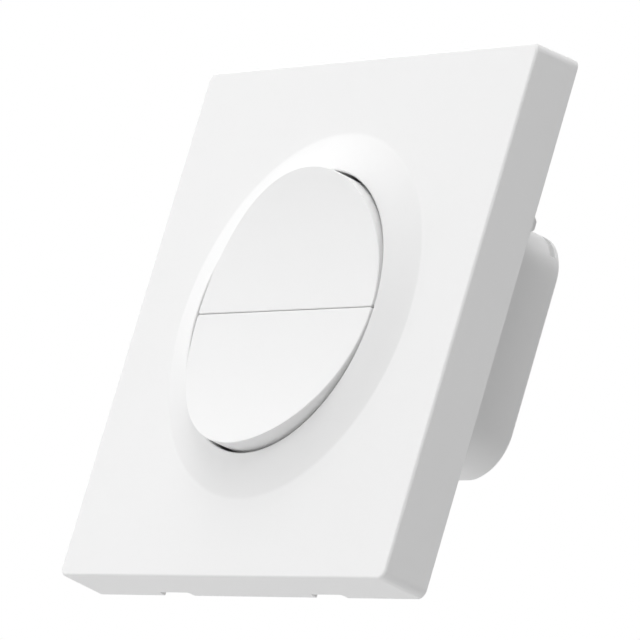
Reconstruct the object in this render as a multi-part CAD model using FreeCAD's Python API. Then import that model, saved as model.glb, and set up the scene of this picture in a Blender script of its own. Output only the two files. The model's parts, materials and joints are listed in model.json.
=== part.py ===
import FreeCAD, Part
import math
import os

# Wireless remote wall switch for a square 86 mm wall box, in millimetres.
# X runs right as seen from the room, Z up and Y into the wall.
# The origin is the centre of the cover plate's back plane, which lies on the wall.

V = FreeCAD.Vector

# Cover plate
plate_size = 86.0            # side of the square at the wall
plate_depth = 8.0            # wall to front face
plate_draft = 0.3            # each side leans in by this over the depth
plate_corner = 1.5           # corner radius seen from the front
plate_edge = 0.45            # rounding of the front edge
plate_side_wall = 2.0
plate_front_wall = 2.0
stop_place = 27.0            # ribs inside the plate that rest on the mounting frame, from the middle
stop_wall = 1.2
stop_reach = 2.4

# Raised ring round the rockers
ring_foot = 30.0             # radius where the cone leaves the front face
ring_rim = 23.25             # radius of the bore that holds the rockers
ring_height = 2.0            # rim above the front face
ring_band = 0.3              # bevel at the foot of the cone, along each face
rim_edge = 0.2               # bevel between the cone and the bore: its width
rim_edge_depth = 0.14        # and how far it reaches down the bore
collar_wall = 1.4            # tube that carries the bore inwards
collar_gap = 0.4             # between the collar's end and the rocker carrier

# Rockers
rocker_gap = 0.5             # rocker to bore, radial
divide_gap = 0.08            # between the two rockers at their faces
divide_lean = 0.08           # each straight wall leans back by this, so the gap widens inwards
dish_radius = 90.0           # both faces lie on one hollow cylinder along X
rocker_wall = 1.3
rocker_face_wall = 1.4
rocker_corner = 0.3          # where the straight wall meets the arc
rocker_edge = 0.14           # bevel between the face and the arc wall
divide_edge = 0.12           # bevel between the face and the straight wall
rocker_room = 1.0            # rocker's rear edge to the carrier, for the tilt
rib_place = 8.0              # stiffening ribs under the face, from the middle
rib_wall = 0.8
rib_rise = 1.6               # ribs end this far in front of the rocker's rear edge

# Hinges
hinge_pin = 0.9              # radius of the moulded hinge pins
hinge_fit = 0.06             # radial clearance of the pins in the ears
ear_x = 15.0                 # middle of the carrier's ears
ear_wall = 1.8
ear_rim = 0.85               # material round the pin hole
pin_bevel = 0.7              # corners off the ends of ears and lugs
ear_face_gap = 0.35          # ear to the back of the rocker's face
ear_wall_gap = 0.51          # ear to the rocker's straight wall
lug_floor_gap = 0.35         # lug to the carrier's front
lug_wall = 1.6
lug_gap = 0.3                # between the rocker's lug and the ear
pin_tail = 0.3               # pin past the ear

# Catches that stop the rockers from lifting out
catch_width = 6.0
catch_wall = 1.1
catch_barb = 0.9
catch_gap = 0.5              # tongue to the ledge it reaches over
catch_lead = 0.9             # slanted part of the barb
catch_flat = 0.4
ledge_reach = 0.8
ledge_wall = 1.2
ledge_side = 1.0             # ledge beyond the tongue on each side
catch_play = 0.15

# Push posts under the rockers: two crossed ribs
post_width = 2.4
post_rib = 0.9
brace_width = 6.0            # low ribs that brace the post
brace_wall = 1.0
brace_rise = 0.6
post_hole = 2.4              # half the side of the carrier's hole round post and stem

# Mounting frame
frame_wall = 2.4
frame_clearance = 0.4        # frame edge to the plate's inner wall
frame_corner = 1.5
frame_rim = 1.2              # stiffening rim on the frame's edge
frame_rim_height = 1.6
window_side = 7.0            # window past the switches, left and right
window_end = 2.0             # window past the switches, up and down
box_screw_spacing = 60.3
box_slot_radius = 2.1
box_slot_length = 8.0
pocket_count = 4             # shallow pockets in the rear, above and below the housing
pocket_rib = 1.4
pocket_depth = 1.2
pocket_height = 9.0
pocket_side = 7.0            # pockets end this far from the frame's sides
pocket_gap = 3.0             # pockets to the housing

# Snap hooks of the cover plate
hook_inset = 5.7             # outer face of the hook from the plate's side
hook_z = 18.2
hook_wall = 1.4
hook_width = 4.0
hook_tip_width = 1.3
hook_tip_y = 4.63            # upper hooks, which hold last
lower_hook_tip_y = 3.6       # lower hooks, which go in first
hook_taper = 1.25            # length of the tapered tip
hook_tip_lean = 0.45
hook_barb = 0.9
hook_barb_length = 1.5
hook_catch_y = 0.1           # barb's holding face behind the frame
hook_window_gap = 0.35

# Prying notches in the lower rear edge
notch_x = 20.0
notch_width = 8.0
notch_depth = 1.3
notch_corner = 0.5
notch_past = 1.5             # notch past the side wall's inner face

# Rocker carrier
carrier_margin = 0.25        # carrier past the bore
carrier_inset = 0.5          # carrier's edge inside the housing's outline
carrier_corner = 5.0

# Switch board and the push switches on it
board_front = 1.6
board_wall = 1.6
board_gap = 1.1              # board to the housing's walls and bosses
board_rest = 5.4             # rests in the housing reach this far in from its side walls
board_rest_half = 3.0
board_clamp_wall = 1.2       # ribs on the frame that hold the board on its rests
board_clamp_half = 6.0
switch_z = 12.0
switch_side = 6.0
switch_bevel = 0.35
switch_base_height = 2.9
switch_cover_wall = 0.3
switch_well = 2.35           # half the side of the well in the base
stem_radius = 1.7
stem_hole_gap = 0.1
stem_flange = 2.1            # half the side of the square flange
stem_flange_wall = 0.6
stem_height = 2.1            # stem's end in front of the switch base
stem_play = 0.05
dome_half = 2.2              # middle of the dome to its four feet
dome_crown = 1.1             # half the length of its flat middle
dome_width = 1.8
dome_rise = 0.5
dome_wall = 0.08
leg_width = 0.7
leg_wall = 0.3
leg_pitch = 4.5
leg_spread = 6.5
leg_shoulder = 1.2           # where a leg leaves the base, in front of the board
leg_root = 0.4               # leg inside the base
leg_tail = 0.6               # leg behind the board
leg_gap = 0.2                # leg to its slot in the board

# Radio module on the back of the board
radio_x = 9.0
radio_z = 13.8
radio_wall = 0.8
radio_leg_gap = 1.6          # module to the switch legs
radio_end_gap = 0.3          # module to the board's lower edge
radio_pads = 6
radio_pad = 0.8              # edge pads are half notches of this width
can_inset = 0.7              # can to the module's edges
can_z = 9.6
can_height = 1.9
can_wall = 0.2

# Battery, its holder and contacts
cell_radius = 7.8
cell_length = 27.0
cell_nub_radius = 3.0
cell_nub = 0.9
cell_front_gap = 0.85        # cell to the board
cell_gap = 0.25
cell_cover_gap = 0.4
holder_end_wall = 1.2
holder_wall = 1.6
holder_front_gap = 0.05
holder_side_gap = 0.8        # holder to the board's rests
contact_wall = 0.3
contact_width = 7.0
contact_slot_gap = 0.1
contact_room = 1.3
contact_back_gap = 0.03
contact_touch_gap = 0.02
contact_bend = 0.35
contact_top = 3.6            # fold above the cell's axis
contact_pad = 0.9            # half height of the part that touches the cell
contact_toe = 2.2

# Electronics housing
housing_step_z = -16.56      # lower side of the deeper rear part
housing_step_y = 9.0
housing_corner = 7.6
housing_wall = 1.8
housing_rear_edge = 0.5
step_wall = 1.8
boss_radius = 2.4
screw_gap = 0.65             # heads of the carrier's screws to the plate's collar
boss_side_gap = 1.87         # their bosses to the housing's sides
boss_trim = 0.4              # bosses end inside the wall
rest_back_gap = 1.0          # board's rests end this far in front of the cover's lip
cover_wall = 1.15
lip_wall = 1.0
lip_gap = 0.15
lip_depth = 1.9
groove_width = 1.1           # prying groove in front of the cover's joint
groove_depth = 1.2
groove_angle = 28.0          # where the groove ends on the corner, from the side
snap_bump = 0.3
snap_length = 8.0
snap_half = 0.35             # half height of the bump
snap_play = 0.12
snap_end_play = 0.3

# Screws
screw_head = 1.9
screw_head_height = 1.3
screw_hole = 1.2
screw_pilot = 0.8
thread_gap = 0.02
screw_length = 8.0           # depth of their holes in the housing
screw_end_gap = 0.5
recess_wall = 0.44           # arms of the cross recess
recess_reach = 0.55          # share of the head's radius and height

overlap = 0.5                # how far one sub-form runs into the next before they are fused
far = 100.0                  # cutters that pass right through reach this far

front_y = -plate_depth
rim_y = front_y - ring_height
plate_half = plate_size / 2
rocker_radius = ring_rim - rocker_gap
dish_rise = dish_radius - math.sqrt(dish_radius ** 2 - rocker_radius ** 2)
pin_rim = hinge_pin + ear_rim
hinge_y = rim_y + rocker_face_wall + ear_face_gap + pin_rim
hinge_z = divide_gap / 2 + rocker_wall + ear_wall_gap + pin_rim
frame_front = -frame_wall
carrier_front = hinge_y + pin_rim + lug_floor_gap
rocker_back = carrier_front - rocker_room
collar_end = carrier_front - collar_gap

board_back = board_front + board_wall
switch_top = board_front - switch_base_height
stem_top = switch_top - stem_height
switch_well_depth = stem_flange_wall + dome_rise + 2 * stem_play

holder_half = cell_length / 2 + contact_room + holder_end_wall
rest_x = holder_half + holder_side_gap
corner_screw = (ring_rim + collar_wall + screw_gap + screw_head) * math.sqrt(0.5)
housing_top = corner_screw + boss_radius + boss_side_gap
housing_half_x = max(rest_x + board_rest + housing_wall, housing_top)
cell_y = board_back + cell_front_gap + cell_radius
cover_joint_y = cell_y + cell_radius + cell_cover_gap
housing_depth = cover_joint_y + cover_wall
cell_z = (housing_top + housing_step_z) / 2
board_half_x = housing_half_x - housing_wall - board_gap
board_half_z = housing_top - housing_wall - board_gap
carrier_half = max(ring_rim + carrier_margin, housing_half_x - carrier_inset)
hook_x = plate_half - hook_inset
radio_centre_x = leg_spread / 2 + leg_width / 2 + radio_leg_gap + radio_x / 2
radio_centre_z = -(board_half_z - radio_end_gap - radio_z / 2)


def box(x0, x1, y0, y1, z0, z1):
    return Part.makeBox(x1 - x0, y1 - y0, z1 - z0, V(x0, y0, z0))


def rod_y(radius, y0, y1, x=0.0, z=0.0):
    return Part.makeCylinder(radius, y1 - y0, V(x, y0, z), V(0, 1, 0))


def rod_x(radius, x0, x1, y, z):
    return Part.makeCylinder(radius, x1 - x0, V(x0, y, z), V(1, 0, 0))


def rounded_wire(half_x, z0, z1, radius, y):
    # rounded rectangle in a plane parallel to the wall
    c = radius * math.sqrt(0.5)
    x1, xc = half_x, half_x - radius
    top, bottom = z1 - radius, z0 + radius
    corners = [(xc, top, 1, 1), (-xc, top, -1, 1), (-xc, bottom, -1, -1), (xc, bottom, 1, -1)]
    edges = []
    ends = []
    for x, z, sx, sz in corners:
        side = V(sx * x1, y, z)
        level = V(x, y, z + sz * radius)
        start, end = (side, level) if sx * sz > 0 else (level, side)
        edges.append(Part.Arc(start, V(x + sx * c, y, z + sz * c), end).toShape())
        ends.append((start, end))
    for i in range(4):
        edges.append(Part.makeLine(ends[i][1], ends[(i + 1) % 4][0]))
    return Part.Wire(Part.__sortEdges__(edges))


def rounded_block(half_x, z0, z1, radius, y0, y1):
    return Part.Face(rounded_wire(half_x, z0, z1, radius, y0)).extrude(V(0, y1 - y0, 0))


def drafted_block(front_half, back_half, y0, y1, radius):
    # square block whose sides lean, with its four long edges rounded
    block = Part.makeWedge(-front_half, y0, -front_half, -back_half, -back_half,
                           front_half, y1, front_half, back_half, back_half)
    return block.makeFillet(radius, edges_at(block, lambda e: e.BoundBox.YLength > (y1 - y0) / 2))


def prism(points, direction):
    # straight prism on a closed outline
    outline = Part.makePolygon(points + [points[0]])
    return Part.Face(outline).extrude(direction)


def edges_at(shape, test):
    return [e for e in shape.Edges if test(e)]


def lies_at_y(edge, y):
    return all(abs(v.Point.y - y) < 1e-4 for v in edge.Vertexes) and abs(edge.CenterOfMass.y - y) < 1e-4


def fuse_all(shapes):
    return shapes[0].multiFuse(shapes[1:]).removeSplitter()


def mirrored(shape, normal):
    return shape.mirror(V(0, 0, 0), normal)


def lower(shape):
    return mirrored(shape, V(0, 0, 1))


def left_and_right(shape):
    return [shape, mirrored(shape, V(1, 0, 0))]


def four_corners(shape):
    pair = left_and_right(shape)
    return pair + [lower(s) for s in pair]


def opposite_corners(shape):
    # the shape and its copy half a turn round the plate's centre
    other = shape.copy()
    other.rotate(V(0, 0, 0), V(0, 1, 0), 180)
    return [shape, other]


# Cover plate: a drafted shell whose front rises into a cone round the bore

def cone_slope():
    # radius gained for each millimetre down the cone
    return (ring_foot - ring_rim) / ring_height


def cone_ring():
    # the cone starts a little inside the front wall so that the two fuse cleanly
    start = ring_foot + cone_slope() * overlap
    return Part.makeCone(start, ring_rim, ring_height + overlap, V(0, front_y + overlap, 0), V(0, -1, 0))


def rim_bevel():
    # cone that takes the sharp edge off the rim
    end_y = rim_y + rim_edge_depth
    height = 2 * (rim_edge_depth - rim_edge / cone_slope())
    return Part.makeCone(ring_rim + 2 * rim_edge, ring_rim, height, V(0, end_y - height, 0), V(0, 1, 0))


def snap_hook(tip_y):
    # right hook above the middle: a tongue with an inward barb and a tapered tip
    root = front_y + plate_front_wall - overlap
    inner = hook_x - hook_wall
    barb = inner - hook_barb
    side = [V(inner, root, 0), V(hook_x, root, 0), V(hook_x, tip_y, 0),
            V(inner + hook_tip_lean, tip_y, 0), V(barb, hook_catch_y + hook_barb_length, 0),
            V(barb, hook_catch_y, 0), V(inner, hook_catch_y, 0)]
    tongue = prism([V(p.x, p.y, hook_z - hook_width) for p in side], V(0, 0, 2 * hook_width))
    half, tip = hook_width / 2, hook_tip_width / 2
    shoulder = tip_y - hook_taper
    face = [V(0, root, hook_z - half), V(0, shoulder, hook_z - half), V(0, tip_y, hook_z - tip),
            V(0, tip_y, hook_z + tip), V(0, shoulder, hook_z + half), V(0, root, hook_z + half)]
    return tongue.common(prism(face, V(2 * hook_x, 0, 0)))


def snap_hooks():
    lower_pair = [lower(hook) for hook in left_and_right(snap_hook(lower_hook_tip_y))]
    return left_and_right(snap_hook(hook_tip_y)) + lower_pair


def pry_notch():
    z0 = -plate_half - overlap
    cut = box(notch_x - notch_width / 2, notch_x + notch_width / 2, -notch_depth, overlap, z0,
              z0 + overlap + plate_side_wall + notch_past)
    corners = edges_at(cut, lambda e: lies_at_y(e, -notch_depth) and e.BoundBox.XLength < 1e-6)
    return cut.makeFillet(notch_corner, corners)


def plate_stops():
    # ribs on the side walls that rest on the frame's rim
    stops = []
    inner = plate_half - plate_side_wall
    front = front_y + plate_front_wall / 2
    rim_front = frame_front - frame_rim_height
    for place in (-stop_place, stop_place):
        low, high = place - stop_wall / 2, place + stop_wall / 2
        for sign in (-1, 1):
            near, past = sorted((sign * (inner - stop_reach), sign * (inner + overlap)))
            stops.append(box(near, past, front, rim_front, low, high))
            stops.append(box(low, high, front, rim_front, near, past))
    return stops


def face_plate():
    lean = plate_draft / plate_depth
    shell = drafted_block(plate_half - plate_draft, plate_half, front_y, 0, plate_corner)
    shell = shell.makeFillet(plate_edge, edges_at(shell, lambda e: lies_at_y(e, front_y)))
    shell = shell.fuse(cone_ring()).removeSplitter()
    foot = edges_at(shell, lambda e: lies_at_y(e, front_y) and e.BoundBox.XLength < 2 * ring_foot + 0.1
                    and e.BoundBox.XLength > 2 * ring_rim)
    shell = shell.makeChamfer(ring_band, foot)
    inner = plate_half - plate_side_wall
    reach = plate_depth - plate_front_wall
    inner_corner = max(plate_corner - plate_side_wall / 2, plate_corner / 4)
    room = drafted_block(inner - lean * reach, inner + lean, -reach, 1, inner_corner)
    shell = shell.cut(room)
    collar = rod_y(ring_rim + collar_wall, front_y, collar_end)
    shell = shell.fuse(collar)
    bore = rod_y(ring_rim, rim_y - 1, 0)
    shell = shell.cut([bore, rim_bevel()] + left_and_right(pry_notch()))
    return fuse_all([shell] + snap_hooks() + plate_stops())


# Mounting frame: screwed to the wall box, and what everything else is fixed to

def hook_window():
    half = hook_width / 2 + hook_window_gap
    inner, outer = hook_x - hook_wall - hook_window_gap, hook_x + hook_window_gap
    return box(inner, outer, -far, far, hook_z - half, hook_z + half)


def corner_holes():
    return opposite_corners(rod_y(screw_hole, -far, far, corner_screw, corner_screw))


def box_slot(x):
    reach = box_slot_length / 2 - box_slot_radius
    middle = box(x - reach, x + reach, -far, far, -box_slot_radius, box_slot_radius)
    return fuse_all([middle] + [rod_y(box_slot_radius, -far, far, x + s * reach) for s in (-1, 1)])


def rear_pockets():
    # shallow pockets above and below the housing that keep the moulding's wall even
    pockets = []
    side = plate_half - plate_side_wall - frame_clearance - pocket_side
    step = (2 * side + pocket_rib) / pocket_count
    z0 = housing_top + pocket_gap
    for i in range(pocket_count):
        x0 = -side + i * step
        pocket = box(x0, x0 + step - pocket_rib, -pocket_depth, 1, z0, z0 + pocket_height)
        pockets += [pocket, lower(pocket)]
    return pockets


def board_clamp():
    # rib behind the frame that keeps the board on its rest
    middle = rest_x + board_rest / 2
    return box(middle - board_clamp_wall / 2, middle + board_clamp_wall / 2, -overlap, board_front,
               -board_clamp_half, board_clamp_half)


def mounting_frame():
    half = plate_half - plate_side_wall - frame_clearance
    rim_front = frame_front - frame_rim_height
    frame = rounded_block(half, -half, half, frame_corner, rim_front, 0)
    inside = half - frame_rim
    tray = rounded_block(inside, -inside, inside, frame_corner / 2, rim_front - 1, frame_front)
    wx = switch_side / 2 + window_side
    wz = switch_z + switch_side / 2 + window_end
    cuts = [tray, box(-wx, wx, -far, far, -wz, wz)] + corner_holes() + four_corners(hook_window())
    frame = frame.cut(cuts + left_and_right(box_slot(box_screw_spacing / 2)) + rear_pockets())
    return fuse_all([frame] + left_and_right(board_clamp()))


# Rocker carrier: the moulding that holds both rockers by their hinge pins

def pin_block(x0, x1, root, end):
    # block round the hinge line with the corners of its free end taken off
    low, high = hinge_z - pin_rim, hinge_z + pin_rim
    shoulder = end + math.copysign(pin_bevel, root - end)
    return prism([V(x0, root, low), V(x0, shoulder, low), V(x0, end, low + pin_bevel),
                  V(x0, end, high - pin_bevel), V(x0, shoulder, high), V(x0, root, high)], V(x1 - x0, 0, 0))


def hinge_ear(x):
    x0, x1 = x - ear_wall / 2, x + ear_wall / 2
    ear = pin_block(x0, x1, carrier_front + overlap, hinge_y - pin_rim)
    return ear.cut(rod_x(hinge_pin + hinge_fit, x0 - 1, x1 + 1, hinge_y, hinge_z))


def ledge_inner():
    return rocker_radius - rocker_wall - ledge_reach


def ledge_front():
    return rocker_back - ledge_wall


def upper_catch():
    # tongue whose barb reaches over the ledge inside the rocker's skirt
    outer = ledge_inner() - catch_gap
    inner = outer - catch_wall
    root = carrier_front + overlap
    hold = ledge_front() - catch_play
    top = hold - catch_flat - catch_lead
    profile = [(root, outer), (hold, outer), (hold, outer + catch_barb),
               (hold - catch_flat, outer + catch_barb), (top, outer), (top, inner), (root, inner)]
    return prism([V(-catch_width / 2, y, z) for y, z in profile], V(catch_width, 0, 0))


def rocker_carrier():
    half = carrier_half
    base = rounded_block(half, -half, half, carrier_corner, carrier_front, frame_front)
    grips = [hinge_ear(-ear_x), hinge_ear(ear_x), upper_catch()]
    carrier = fuse_all([base] + grips + [lower(g) for g in grips])
    hole = box(-post_hole, post_hole, -far, far, switch_z - post_hole, switch_z + post_hole)
    return carrier.cut([hole, lower(hole)] + corner_holes())


# Rockers: half discs under one hollow face, each on two moulded hinge pins

def half_disc(radius, front, back, front_z, back_z):
    # upper part of a disc, cut off by a plane that may lean
    disc = rod_y(radius, front, back)
    side = [V(-far, front, front_z), V(-far, front, far), V(-far, back, far), V(-far, back, back_z)]
    return disc.common(prism(side, V(2 * far, 0, 0)))


def dish(radius):
    return rod_x(radius, -far, far, rim_y - dish_radius, 0)


def blank_front():
    return rim_y - dish_rise - 1


def on_face(edge):
    return edge.BoundBox.YMax < rim_y + 0.1


def is_level(edge):
    return edge.BoundBox.XLength > rocker_radius and edge.BoundBox.ZLength < 0.1


def is_dished(edge):
    return edge.BoundBox.YLength > dish_rise / 2


def rocker_cap():
    z_edge = divide_gap / 2
    front = blank_front()
    front_z = z_edge - divide_lean * (rim_y - front) / (rocker_back - rim_y)
    blank = half_disc(rocker_radius, front, rocker_back, front_z, z_edge + divide_lean)
    blank = blank.makeChamfer(rocker_corner, edges_at(blank, lambda e: e.BoundBox.YLength > 1))
    blank = blank.cut(dish(dish_radius))
    blank = blank.makeChamfer(divide_edge, edges_at(blank, lambda e: on_face(e) and is_level(e)))
    return blank.makeChamfer(rocker_edge, edges_at(blank, lambda e: on_face(e) and is_dished(e)))


def rocker_hollow():
    z_wall = divide_gap / 2 + rocker_wall
    hollow = half_disc(rocker_radius - rocker_wall, blank_front(), rocker_back + 1, z_wall, z_wall)
    return hollow.cut(dish(dish_radius + rocker_face_wall))


def face_depth(z):
    # y of the hollow face's back at height z
    return rim_y - dish_radius + math.sqrt((dish_radius + rocker_face_wall) ** 2 - z ** 2)


def hinge_lug():
    x1 = ear_x - ear_wall / 2 - lug_gap
    x0 = x1 - lug_wall
    web = pin_block(x0, x1, face_depth(0) - overlap, hinge_y + pin_rim)
    pin = rod_x(hinge_pin, x1 - overlap, ear_x + ear_wall / 2 + pin_tail, hinge_y, hinge_z)
    return web.fuse(pin)


def crossed_ribs(width, wall, y0, y1):
    half, thin = width / 2, wall / 2
    return [box(-thin, thin, y0, y1, switch_z - half, switch_z + half),
            box(-half, half, y0, y1, switch_z - thin, switch_z + thin)]


def push_post():
    # a cross that presses on the stem, on a wider and lower cross under the face
    start = face_depth(switch_z) - overlap
    return crossed_ribs(post_width, post_rib, start, stem_top - stem_play) + crossed_ribs(
        brace_width, brace_wall, start, rocker_back - brace_rise)


def skirt_ledge():
    ring = rod_y(rocker_radius - rocker_wall / 2, ledge_front(), rocker_back)
    half = catch_width / 2 + ledge_side
    return ring.cut(rod_y(ledge_inner(), -far, far)).common(box(-half, half, -far, far, 0, far))


def stiffening_ribs():
    # thin ribs under the face, from the straight wall to the arc
    ribs = []
    for x in (-rib_place, rib_place):
        reach = math.sqrt((rocker_radius - rocker_wall / 2) ** 2 - x ** 2)
        rib = box(x - rib_wall / 2, x + rib_wall / 2, blank_front(), rocker_back - rib_rise,
                  (divide_gap + rocker_wall) / 2 + divide_lean, reach)
        ribs.append(rib.cut(dish(dish_radius + rocker_face_wall / 2)))
    return ribs


def upper_rocker():
    cap = rocker_cap().cut(rocker_hollow())
    return fuse_all([cap, skirt_ledge()] + left_and_right(hinge_lug()) + push_post() + stiffening_ribs())


# Push switches: base with a well, snap dome, stem and a metal cover

def leg_places():
    return [(sx * leg_spread / 2, switch_z + sz * leg_pitch / 2) for sx in (-1, 1) for sz in (-1, 1)]


def switch_legs():
    legs = []
    top = board_front - leg_shoulder
    half = leg_width / 2
    for x, z in leg_places():
        side = math.copysign(1, x)
        x0, x1 = sorted((x + side * leg_wall / 2, side * (switch_side / 2 - leg_root)))
        legs += [box(x - leg_wall / 2, x + leg_wall / 2, top, board_back + leg_tail, z - half, z + half),
                 box(x0, x1, top, top + leg_wall, z - half, z + half)]
    return legs


def switch_block(y0, y1):
    half = switch_side / 2
    block = box(-half, half, y0, y1, switch_z - half, switch_z + half)
    return block.makeChamfer(switch_bevel, edges_at(block, lambda e: e.BoundBox.YLength > (y1 - y0) / 2))


def upper_switch_base():
    base = switch_block(switch_top, board_front)
    base = base.cut(box(-switch_well, switch_well, switch_top - 1, switch_top + switch_well_depth,
                        switch_z - switch_well, switch_z + switch_well))
    return fuse_all([base] + switch_legs())


def upper_switch_cover():
    cover = switch_block(switch_top - switch_cover_wall, switch_top)
    return cover.cut(rod_y(stem_radius + stem_hole_gap, -far, far, 0, switch_z))


def upper_switch_stem():
    flange_front = switch_top + stem_play
    shaft = rod_y(stem_radius, stem_top, flange_front, 0, switch_z)
    flange = box(-stem_flange, stem_flange, flange_front, flange_front + stem_flange_wall,
                 switch_z - stem_flange, switch_z + stem_flange)
    return shaft.fuse(flange).removeSplitter()


def upper_switch_dome():
    # cross of two bent strips that stands on four feet and snaps through under the stem
    floor = switch_top + switch_well_depth
    top = floor - dome_rise
    toe = dome_half - dome_wall * (dome_half - dome_crown) / dome_rise
    profile = [(-dome_half, floor), (-dome_crown, top), (dome_crown, top), (dome_half, floor),
               (toe, floor), (dome_crown, top + dome_wall), (-dome_crown, top + dome_wall), (-toe, floor)]
    strip = prism([V(x, y, switch_z - dome_width / 2) for x, y in profile], V(0, 0, dome_width))
    crossing = strip.copy()
    crossing.rotate(V(0, 0, switch_z), V(0, 1, 0), 90)
    return fuse_all([strip, crossing])


# Board with the radio module

def switch_board():
    y0, y1 = board_front, board_back
    board = box(-board_half_x, board_half_x, y0, y1, -board_half_z, board_half_z)
    room = boss_radius + board_gap
    corner = box(corner_screw - room, far, -far, far, corner_screw - room, far)
    cuts = four_corners(corner)
    half_x, half_z = leg_wall / 2 + leg_gap, leg_width / 2 + leg_gap
    for x, z in leg_places():
        slot = box(x - half_x, x + half_x, -far, far, z - half_z, z + half_z)
        cuts += [slot, lower(slot)]
    return board.cut(cuts)


def radio_board():
    x0, x1 = radio_centre_x - radio_x / 2, radio_centre_x + radio_x / 2
    z0, z1 = radio_centre_z - radio_z / 2, radio_centre_z + radio_z / 2
    plate = box(x0, x1, board_back, board_back + radio_wall, z0, z1)
    pitch = radio_z / (radio_pads + 1)
    half = radio_pad / 2
    pads = []
    for i in range(radio_pads):
        z = z0 + (i + 1) * pitch
        pads += [box(x - half, x + half, -far, far, z - half, z + half) for x in (x0, x1)]
    return plate.cut(pads)


def shield_can():
    y0 = board_back + radio_wall
    half = radio_x / 2 - can_inset
    top = radio_centre_z + radio_z / 2 - can_inset
    can = box(radio_centre_x - half, radio_centre_x + half, y0, y0 + can_height, top - can_z, top)
    can = can.makeChamfer(can_wall, edges_at(can, lambda e: e.BoundBox.YLength > can_height / 2))
    inner = half - can_wall
    return can.cut(box(radio_centre_x - inner, radio_centre_x + inner, y0 - 1, y0 + can_height - can_wall,
                       top - can_z + can_wall, top - can_wall))


# Battery in its holder

def battery_cell():
    half = cell_length / 2
    body_end = half - cell_nub
    body = rod_x(cell_radius, -half, body_end, cell_y, cell_z)
    nub = rod_x(cell_nub_radius, body_end, half, cell_y, cell_z)
    return body.fuse(nub).removeSplitter()


def battery_holder():
    front = board_back + holder_front_gap
    half_z = cell_radius + cell_gap + holder_wall
    block = box(-holder_half, holder_half, front, cell_y, cell_z - half_z, cell_z + half_z)
    room = cell_length / 2 + contact_room
    cuts = [rod_x(cell_radius + cell_gap, -room, room, cell_y, cell_z)]
    half = contact_width / 2 + contact_slot_gap
    slot = box(room - contact_wall - contact_slot_gap, room, -far, cell_y + 1, cell_z - half, cell_z + half)
    leg_half = leg_width / 2 + cell_gap
    leg_end = board_back + leg_tail + cell_gap
    for x, z in leg_places():
        cuts.append(box(x - leg_half, x + leg_half, -far, leg_end, z - leg_half, z + leg_half))
    return block.cut(cuts + left_and_right(slot))


def bent_strip(points, wall, z0, width):
    # strip of even thickness along a line of bends in the XY plane
    pieces = []
    for i, (start, end) in enumerate(zip(points, points[1:])):
        run = end - start
        side = V(-run.y, run.x, 0).normalize() * (wall / 2)
        corners = [start + side, end + side, end - side, start - side]
        pieces.append(prism([V(c.x, c.y, z0) for c in corners], V(0, 0, width)))
        if i:
            pieces.append(Part.makeCylinder(wall / 2, width, V(start.x, start.y, z0)))
    return fuse_all(pieces)


def contact():
    # strip in the holder's slot with a spring fold that presses on the cell
    back = cell_length / 2 + contact_room - contact_back_gap - contact_wall / 2
    touch = cell_length / 2 + contact_touch_gap + contact_wall / 2
    y = cell_y
    line = [V(back, board_back, 0), V(back, y + contact_top - contact_bend, 0),
            V(back - contact_bend, y + contact_top, 0), V(touch, y + contact_pad, 0),
            V(touch, y - contact_pad, 0), V(touch + contact_bend, y - contact_toe, 0)]
    return bent_strip(line, contact_wall, cell_z - contact_width / 2, contact_width)


# Housing in the wall box, and the cover over the battery

def outer_block(inset, y0, y1, low=-housing_top):
    side, top = housing_half_x - inset, housing_top - inset
    return rounded_block(side, low + inset, top, housing_corner - inset, y0, y1)


def housing_bosses():
    # bosses for the carrier screws, trimmed to end inside the walls, and rests for the board
    corner = rod_y(boss_radius, 0, housing_step_y - overlap, corner_screw, corner_screw)
    trim = outer_block(boss_trim, -1, housing_step_y)
    rest = box(rest_x, housing_half_x - boss_trim, board_back, cover_joint_y - lip_depth - rest_back_gap,
               -board_rest_half, board_rest_half)
    return [b.common(trim) for b in opposite_corners(corner)] + left_and_right(rest)


def pry_groove():
    # groove over the top that turns down both upper corners and stops at the set angle
    y1 = cover_joint_y
    y0 = y1 - groove_width
    ring = outer_block(-1, y0, y1, housing_step_z)
    ring = ring.cut(outer_block(groove_depth, y0 - 1, y1 + 1, housing_step_z))
    centre_z = housing_top - housing_corner
    stop = centre_z + housing_corner * math.sin(math.radians(groove_angle))
    return ring.common(box(-far, far, -far, far, stop, far))


def module_housing():
    shell = fuse_all([outer_block(0, 0, housing_step_y), outer_block(0, 0, cover_joint_y, housing_step_z)])
    room_front = outer_block(housing_wall, -1, housing_step_y - step_wall)
    room_rear = outer_block(housing_wall, -1, cover_joint_y + 1, housing_step_z)
    shell = fuse_all([shell.cut([room_front, room_rear])] + housing_bosses())
    pilots = opposite_corners(rod_y(screw_pilot, -1, screw_length, corner_screw, corner_screw))
    return shell.cut(pilots + [pry_groove()] + snap_band(snap_play, snap_length + 2 * snap_end_play))


def snap_band(spread, length):
    # bumps on the lip at the sides, or with more spread the recesses that take them
    level = cover_joint_y - lip_depth / 2
    half = snap_half + spread
    outer = housing_half_x - housing_wall - lip_gap
    band = box(outer - lip_wall / 2, outer + snap_bump + spread, level - half, level + half,
               cell_z - length / 2, cell_z + length / 2)
    return left_and_right(band)


def cover_lips():
    # straight lips inside the housing's four walls, between its rounded corners
    inset = housing_wall + lip_gap
    side, top, low = housing_half_x - inset, housing_top - inset, housing_step_z + inset
    corner = housing_corner - inset
    y0, y1 = cover_joint_y - lip_depth, cover_joint_y + overlap
    upright = box(side - lip_wall, side, y0, y1, low + corner, top - corner)
    level = [box(corner - side, side - corner, y0, y1, z, z + lip_wall) for z in (low, top - lip_wall)]
    return left_and_right(upright) + level


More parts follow.
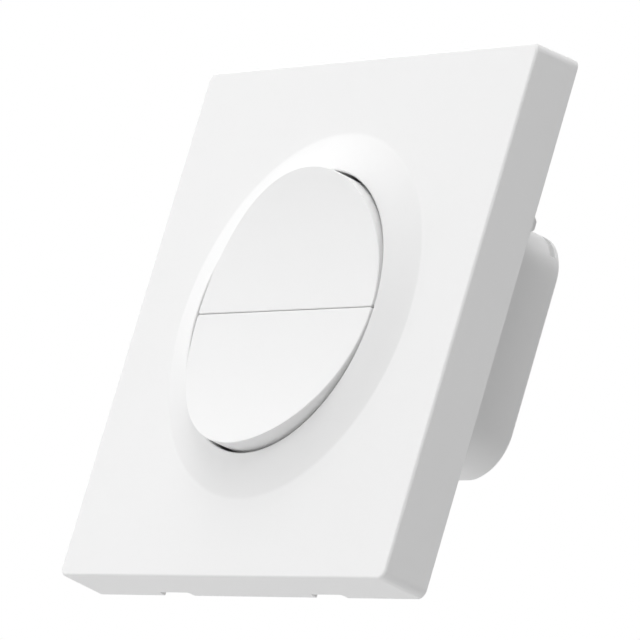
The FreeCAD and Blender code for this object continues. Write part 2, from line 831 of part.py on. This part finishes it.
def rear_cover():
    plate = outer_block(0, cover_joint_y, housing_depth, housing_step_z)
    plate = plate.makeChamfer(housing_rear_edge, edges_at(plate, lambda e: lies_at_y(e, housing_depth)))
    return fuse_all([plate] + cover_lips() + snap_band(0, snap_length))


# Screws: pan heads with a cross recess

def pan_screw(x, z, head_y, length):
    top = head_y - screw_head_height
    shank = rod_y(screw_pilot - thread_gap, head_y, head_y + length, x, z)
    screw = rod_y(screw_head, top, head_y, x, z).fuse(shank).removeSplitter()
    arm, half, deep = screw_head * recess_reach, recess_wall / 2, screw_head_height * recess_reach
    return screw.cut([box(x - arm, x + arm, top - 1, top + deep, z - half, z + half),
                      box(x - half, x + half, top - 1, top + deep, z - arm, z + arm)])


def carrier_screws():
    length = screw_length - screw_end_gap - carrier_front
    screw = pan_screw(corner_screw, corner_screw, carrier_front, length)
    return Part.makeCompound(opposite_corners(screw))


nodes = {
    "face_plate": face_plate(),
    "mounting_frame": mounting_frame(),
    "rocker_carrier": rocker_carrier(),
    "upper_rocker": upper_rocker(),
    "switch_board": switch_board(),
    "upper_switch_base": upper_switch_base(),
    "upper_switch_cover": upper_switch_cover(),
    "upper_switch_stem": upper_switch_stem(),
    "upper_switch_dome": upper_switch_dome(),
    "radio_board": radio_board(),
    "shield_can": shield_can(),
    "battery_holder": battery_holder(),
    "battery_cell": battery_cell(),
    "positive_contact": contact(),
    "negative_contact": mirrored(contact(), V(1, 0, 0)),
    "module_housing": module_housing(),
    "rear_cover": rear_cover(),
    "carrier_screws": carrier_screws(),
}
for name in [n for n in nodes if n.startswith("upper_")]:
    nodes[name.replace("upper_", "lower_")] = lower(nodes[name])

os.makedirs("parts", exist_ok=True)
for name, shape in nodes.items():
    shape.exportStep("parts/" + name + ".step")
    print(name, "solids", len(shape.Solids), "volume %.1f" % shape.Volume, "valid", shape.isValid())
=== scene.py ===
import json
import math
import bmesh
import bpy
from mathutils import Matrix, Quaternion, Vector


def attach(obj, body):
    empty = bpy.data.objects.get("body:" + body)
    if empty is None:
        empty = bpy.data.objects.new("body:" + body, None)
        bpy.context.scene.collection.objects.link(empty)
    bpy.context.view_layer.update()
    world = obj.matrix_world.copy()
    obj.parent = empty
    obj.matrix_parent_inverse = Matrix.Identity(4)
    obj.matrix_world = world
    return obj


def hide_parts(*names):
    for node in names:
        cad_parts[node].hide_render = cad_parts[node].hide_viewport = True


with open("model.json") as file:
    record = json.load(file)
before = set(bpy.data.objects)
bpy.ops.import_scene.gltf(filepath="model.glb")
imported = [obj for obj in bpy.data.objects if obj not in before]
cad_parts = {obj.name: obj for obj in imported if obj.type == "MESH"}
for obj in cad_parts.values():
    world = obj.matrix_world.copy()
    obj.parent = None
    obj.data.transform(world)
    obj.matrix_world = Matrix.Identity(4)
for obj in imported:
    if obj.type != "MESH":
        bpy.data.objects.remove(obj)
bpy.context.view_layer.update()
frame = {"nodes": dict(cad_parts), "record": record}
nodes = frame["nodes"]
print("frame loaded with", len(nodes), "nodes")

mm = 0.001


# Shader helpers

class Socket:
    # wraps a node's output so that sums can be written as Python

    def __init__(self, graph, link):
        self.graph = graph
        self.link = link

    def __add__(self, other):
        return self.graph.sum("ADD", self, other)

    def __radd__(self, other):
        return self.graph.sum("ADD", other, self)

    def __sub__(self, other):
        return self.graph.sum("SUBTRACT", self, other)

    def __mul__(self, other):
        return self.graph.sum("MULTIPLY", self, other)


class Graph:
    # one material and the nodes that feed its Principled shader

    def __init__(self, name):
        self.material = bpy.data.materials.new(name)
        self.material.use_nodes = True
        self.tree = self.material.node_tree
        self.shader = self.tree.nodes["Principled BSDF"]
        self.place = self.node("ShaderNodeTexCoord", output="Object")

    def node(self, kind, settings=None, inputs=None, output=0):
        made = self.tree.nodes.new(kind)
        for key, value in (settings or {}).items():
            setattr(made, key, value)
        for key, value in (inputs or {}).items():
            self.feed(made.inputs[key], value)
        return Socket(self, made.outputs[output])

    def feed(self, target, value):
        if isinstance(value, Socket):
            self.tree.links.new(value.link, target)
        else:
            target.default_value = value

    def sum(self, operation, first, second):
        return self.node("ShaderNodeMath", {"operation": operation}, {0: first, 1: second})

    def noise(self, size, detail=2.0, roughness=0.5, place=None):
        # size is the width of the noise's largest grains
        return self.node("ShaderNodeTexNoise", {"noise_dimensions": "3D"},
                         {"Vector": place or self.place, "Scale": 1 / size,
                          "Detail": detail, "Roughness": roughness})

    def blend(self, amount, first, second):
        mixed = self.node("ShaderNodeMix", {"data_type": "RGBA"}, {0: amount}, output=2)
        mixNode = mixed.link.node
        self.feed(mixNode.inputs[6], first)
        self.feed(mixNode.inputs[7], second)
        return mixed

    def bump(self, height, distance):
        return self.node("ShaderNodeBump", None, {"Height": height, "Distance": distance, "Strength": 1.0},
                         output="Normal")

    def set(self, **values):
        for key, value in values.items():
            self.feed(self.shader.inputs[key.replace("_", " ")], value)
        return self.material


def shade(share, tint=(1.0, 1.0, 1.0)):
    return (share * tint[0], share * tint[1], share * tint[2], 1.0)


# Materials

satinShell = {
    "name": "satinShell",
    "light": 0.86,
    "dark": 0.845,
    "cloudSize": 30.0 * mm,
    "cloudDetail": 3.0,
    "grainSize": 0.22 * mm,
    "grainDetail": 3.0,
    "grainHardness": 0.6,        # share of the finer grain
    "grainDepth": 0.0035 * mm,
    "roughness": 0.44,
    "roughnessSpread": 0.06,
}


def mouldedPlastic(values):
    # satin moulded plastic: spark eroded grain, faint clouds in tone and gloss
    g = Graph(values["name"])
    cloud = g.noise(values["cloudSize"], values["cloudDetail"])
    grain = g.noise(values["grainSize"], values["grainDetail"], values["grainHardness"])
    colour = g.blend(cloud, shade(values["dark"]), shade(values["light"]))
    roughness = values["roughness"] + (cloud - 0.5) * values["roughnessSpread"]
    return g.set(Base_Color=colour, Roughness=roughness, Normal=g.bump(grain, values["grainDepth"]))


innerPlastic = dict(satinShell, name="innerPlastic", light=0.8, dark=0.77, grainSize=0.4 * mm,
                    grainDepth=0.006 * mm, roughness=0.55)
switchBlack = dict(satinShell, name="switchBlack", light=0.035, dark=0.028, grainSize=0.3 * mm, roughness=0.5)
stemPlastic = dict(satinShell, name="stemPlastic", light=0.3, dark=0.27, roughness=0.4)

metalPlate = {
    "name": "metalPlate",
    "tint": (0.62, 0.62, 0.6),
    "worn": (0.5, 0.5, 0.49),
    "cloudSize": 4.0 * mm,
    "cloudDetail": 3.0,
    "grainSize": 0.2 * mm,
    "grainStretch": (0.05, 1.0, 1.0),    # the grain runs long in X
    "grainDepth": 0.002 * mm,
    "roughness": 0.34,
    "roughnessSpread": 0.15,
}


def platedMetal(values):
    # rolled and plated sheet: long grain along X, patches of duller plating
    g = Graph(values["name"])
    stretched = g.node("ShaderNodeMapping", None, {"Vector": g.place, "Scale": values["grainStretch"]})
    grain = g.noise(values["grainSize"], place=stretched)
    cloud = g.noise(values["cloudSize"], values["cloudDetail"])
    colour = g.blend(cloud, shade(1.0, values["worn"]), shade(1.0, values["tint"]))
    roughness = values["roughness"] + (grain - 0.5) * values["roughnessSpread"]
    return g.set(Base_Color=colour, Metallic=1.0, Roughness=roughness,
                 Normal=g.bump(grain, values["grainDepth"]))


springMetal = dict(metalPlate, name="springMetal", tint=(0.72, 0.66, 0.5), worn=(0.6, 0.54, 0.4),
                   roughness=0.28)

boardCoat = {
    "name": "boardCoat",
    "mask": (0.015, 0.13, 0.055),
    "overCopper": (0.03, 0.22, 0.09),
    "trackPitch": 1.6 * mm,
    "trackWander": 0.15,         # how far the pattern strays from a square grid
    "gapEdge": 0.08,             # shares of the pitch where a gap ends and full copper starts
    "copperEdge": 0.12,
    "trackDepth": 0.03 * mm,
    "roughness": 0.3,
}


def solderMask(values):
    # lacquer that is lighter and raised where copper runs under it
    g = Graph(values["name"])
    tracks = g.node("ShaderNodeTexVoronoi", {"feature": "DISTANCE_TO_EDGE"},
                    {"Vector": g.place, "Scale": 1 / values["trackPitch"],
                     "Randomness": values["trackWander"]})
    copper = g.node("ShaderNodeMapRange", {"interpolation_type": "SMOOTHSTEP"},
                    {"Value": tracks, "From Min": values["gapEdge"], "From Max": values["copperEdge"]})
    colour = g.blend(copper, shade(1.0, values["mask"]), shade(1.0, values["overCopper"]))
    return g.set(Base_Color=colour, Roughness=values["roughness"],
                 Normal=g.bump(copper, values["trackDepth"]))


moduleCoat = dict(boardCoat, name="moduleCoat", mask=(0.012, 0.03, 0.12), overCopper=(0.02, 0.05, 0.19))

sleeveWrap = {
    "name": "sleeveWrap",
    "body": (0.09, 0.12, 0.19),
    "band": (0.55, 0.56, 0.58),
    "bandStart": 8.5 * mm,
    "bandFade": 0.1 * mm,
    "wrinkleSize": 2.0 * mm,
    "wrinkleDepth": 0.01 * mm,
    "roughness": 0.25,
}


def cellSleeve(values):
    # shrink sleeve with one pale band at the positive end
    g = Graph(values["name"])
    along = g.node("ShaderNodeSeparateXYZ", None, {"Vector": g.place}, output="X")
    bandEnd = values["bandStart"] + values["bandFade"]
    band = g.node("ShaderNodeMapRange", None,
                  {"Value": along, "From Min": values["bandStart"], "From Max": bandEnd})
    wrinkle = g.noise(values["wrinkleSize"])
    colour = g.blend(band, shade(1.0, values["body"]), shade(1.0, values["band"]))
    return g.set(Base_Color=colour, Roughness=values["roughness"],
                 Normal=g.bump(wrinkle, values["wrinkleDepth"]))


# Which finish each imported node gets

def dressNodes():
    finishes = {
        "white_shell": mouldedPlastic(satinShell),
        "inner_plastic": mouldedPlastic(innerPlastic),
        "switch_black": mouldedPlastic(switchBlack),
        "stem_plastic": mouldedPlastic(stemPlastic),
        "plated_steel": platedMetal(metalPlate),
        "spring_metal": platedMetal(springMetal),
        "board_laminate": solderMask(boardCoat),
        "module_laminate": solderMask(moduleCoat),
        "cell_wrap": cellSleeve(sleeveWrap),
    }
    for row in frame["record"]["subparts"]:
        obj = nodes[row["node"]]
        obj.data.materials.clear()
        obj.data.materials.append(finishes[row["material_slot"]])
    return finishes


smoothing = {
    "weldDistance": 0.001 * mm,
    "sharpAngleDeg": 32.0,
}


def smoothNode(obj):
    # joins the loose triangles and smooths across them, with the real edges kept sharp
    obj.data.shade_smooth()
    weld = obj.modifiers.new("weld", "WELD")
    weld.merge_threshold = smoothing["weldDistance"]
    keepEdges(obj)


def keepEdges(obj):
    split = obj.modifiers.new("sharpEdges", "EDGE_SPLIT")
    split.split_angle = math.radians(smoothing["sharpAngleDeg"])
    split.use_edge_sharp = False
    weigh = obj.modifiers.new("faceNormals", "WEIGHTED_NORMAL")
    weigh.keep_sharp = True


finishes = dressNodes()
for obj in nodes.values():
    smoothNode(obj)
print("nodes dressed")


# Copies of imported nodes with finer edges

def mergedCopy(node):
    bm = bmesh.new()
    bm.from_mesh(nodes[node].data)
    bmesh.ops.remove_doubles(bm, verts=bm.verts, dist=smoothing["weldDistance"])
    return bm


def placeCopy(bm, name, node, body):
    mesh = bpy.data.meshes.new(name)
    bm.to_mesh(mesh)
    bm.free()
    mesh.shade_smooth()
    mesh.materials.append(finishes["white_shell"])
    obj = bpy.data.objects.new(name, mesh)
    bpy.context.scene.collection.objects.link(obj)
    keepEdges(obj)
    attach(obj, body)
    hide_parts(node)


# Rockers with a full rounding all round the hollow face

rocker = {
    "dishRadius": 90.0 * mm,
    "dishPlace": -10.0 * mm,     # y of the hollow's deepest line
    "skinTilt": -0.5,            # faces whose normal's y is below this may belong to the hollow face
    "bevelDepth": 0.2 * mm,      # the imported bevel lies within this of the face
    "rounding": 0.2 * mm,
    "segments": 5,
    "stripPitch": 1.25 * mm,     # the face is cut into strips this wide, so that it can curve again
    "faceEnd": 22.0 * mm,        # the last cut lies before this
}


def hollowFace(values, z):
    return values["dishPlace"] - values["dishRadius"] + math.sqrt(values["dishRadius"] ** 2 - z ** 2)


def makeRocker(values, name, node):
    bm = mergedCopy(node)
    # the hollow is made flat for the work on its edge, and curved again after it
    for vert in bm.verts:
        vert.co.y -= hollowFace(values, vert.co.z)
    bm.normal_update()
    skin = [f for f in bm.faces if f.normal.y < values["skinTilt"]
            and max(v.co.y for v in f.verts) < values["bevelDepth"]]
    face = bmesh.ops.dissolve_faces(bm, faces=skin, use_verts=False)["region"][0]
    for vert in face.verts:
        vert.co.y = 0.0
    bmesh.ops.bevel(bm, geom=list(face.edges), offset=values["rounding"], offset_type="OFFSET",
                    segments=values["segments"], profile=0.5, affect="EDGES", material=-1, loop_slide=True)
    level = [f for f in bm.faces if max(abs(v.co.y) for v in f.verts) < smoothing["weldDistance"]]
    side = 1 if level[0].calc_center_median().z > 0 else -1
    for step in range(1, int(values["faceEnd"] / values["stripPitch"])):
        cut = bmesh.ops.bisect_plane(bm, geom=level + list({e for f in level for e in f.edges}),
                                     plane_co=(0, 0, side * step * values["stripPitch"]), plane_no=(0, 0, 1))
        level = [piece for piece in cut["geom"] if isinstance(piece, bmesh.types.BMFace)]
    for vert in bm.verts:
        vert.co.y += hollowFace(values, vert.co.z)
    placeCopy(bm, name, node, node)


makeRocker(rocker, "upperRockerCap", "upper_rocker")
makeRocker(rocker, "lowerRockerCap", "lower_rocker")
print("rockers rounded")


# Camera, fitted to the plate's edges in the photograph

camera = {
    "place": (0.81687, -0.55133, -0.23168),
    "view": (-0.80792, 0.54247, 0.23021),
    "rollDeg": 16.49,
    "lens": 369.46,
    "sensor": 36.0,
    "shift": 0.5 / 640,          # half a pixel of the 640 pixel photograph
}


def makeCamera(values):
    data = bpy.data.cameras.new("camera")
    data.lens = values["lens"]
    data.sensor_width = values["sensor"]
    data.shift_x = -values["shift"]
    data.shift_y = values["shift"]
    obj = bpy.data.objects.new("camera", data)
    obj.rotation_mode = "QUATERNION"
    level = Vector(values["view"]).to_track_quat("-Z", "Y")
    obj.rotation_quaternion = level @ Quaternion((0, 0, 1), math.radians(values["rollDeg"]))
    obj.location = values["place"]
    bpy.context.scene.collection.objects.link(obj)
    bpy.context.scene.camera = obj


makeCamera(camera)


# Studio

studio = {
    "floorHeight": -0.26,
    "floorHalf": 2.5,
    "floorTone": 0.8,
    "floorRoughness": 0.9,
    "floorGlow": 0.15,           # what camera, reflections and clear parts see on top of the lit floor
    "ambient": 0.25,
    "softboxSize": 0.7,
}

# every softbox faces the switch, with its place in metres and its power in watts
softboxes = {
    "keyLight": ((-0.78, -0.61, 0.68), 1.53),
    "frontLeftLight": ((-0.9, -0.8, 0.0), 3.02),
    "frontRightLight": ((0.6, -0.8, 0.75), 5.0),
    "frontTopLight": ((0.0, -0.45, 1.1), 4.07),
    "leftTopLight": ((-0.8, 0.0, 0.85), 3.1),
    "leftLight": ((-1.2, -0.05, 0.3), 1.24),
    "rearTopLight": ((0.1, 0.9, 0.8), 2.9),
}


def makeFloor(values):
    half = values["floorHalf"]
    bm = bmesh.new()
    bmesh.ops.create_grid(bm, x_segments=1, y_segments=1, size=half,
                          matrix=Matrix.Translation((0, 0, values["floorHeight"])))
    mesh = bpy.data.meshes.new("floor")
    bm.to_mesh(mesh)
    bm.free()
    obj = bpy.data.objects.new("floor", mesh)
    bpy.context.scene.collection.objects.link(obj)
    g = Graph("floorPaint")
    path = g.node("ShaderNodeLightPath", output="Is Camera Ray")
    rays = path.link.node.outputs
    seen = path + Socket(g, rays["Is Glossy Ray"]) + Socket(g, rays["Is Transmission Ray"])
    glow = g.blend(seen, shade(0.0), shade(values["floorGlow"]))
    mesh.materials.append(g.set(Base_Color=shade(values["floorTone"]), Roughness=values["floorRoughness"],
                                Emission_Color=glow, Emission_Strength=1.0))


def makeSoftbox(name, place, size, power):
    data = bpy.data.lights.new(name, "AREA")
    data.shape = "DISK"
    data.size = size
    data.energy = power
    obj = bpy.data.objects.new(name, data)
    obj.location = place
    obj.rotation_mode = "QUATERNION"
    obj.rotation_quaternion = (-Vector(place)).to_track_quat("-Z", "Y")
    bpy.context.scene.collection.objects.link(obj)


def makeWorld(values):
    # white for the camera and in reflections, a plain grey light for the rest
    world = bpy.data.worlds.new("studio")
    world.use_nodes = True
    tree = world.node_tree
    tree.nodes.clear()
    out = tree.nodes.new("ShaderNodeOutputWorld")
    light = tree.nodes.new("ShaderNodeBackground")
    shown = tree.nodes.new("ShaderNodeBackground")
    path = tree.nodes.new("ShaderNodeLightPath")
    either = tree.nodes.new("ShaderNodeMath")
    anyOf = tree.nodes.new("ShaderNodeMath")
    mix = tree.nodes.new("ShaderNodeMixShader")
    light.inputs["Color"].default_value = shade(values["ambient"])
    shown.inputs["Color"].default_value = shade(1.0)
    either.operation = "MAXIMUM"
    anyOf.operation = "MAXIMUM"
    tree.links.new(path.outputs["Is Camera Ray"], either.inputs[0])
    tree.links.new(path.outputs["Is Glossy Ray"], either.inputs[1])
    tree.links.new(either.outputs[0], anyOf.inputs[0])
    tree.links.new(path.outputs["Is Transmission Ray"], anyOf.inputs[1])
    tree.links.new(anyOf.outputs[0], mix.inputs[0])
    tree.links.new(light.outputs[0], mix.inputs[1])
    tree.links.new(shown.outputs[0], mix.inputs[2])
    tree.links.new(mix.outputs[0], out.inputs["Surface"])
    bpy.context.scene.world = world


makeFloor(studio)
for name, (place, power) in softboxes.items():
    makeSoftbox(name, place, studio["softboxSize"], power)
makeWorld(studio)
bpy.context.scene.view_settings.view_transform = "Standard"
print("studio ready")
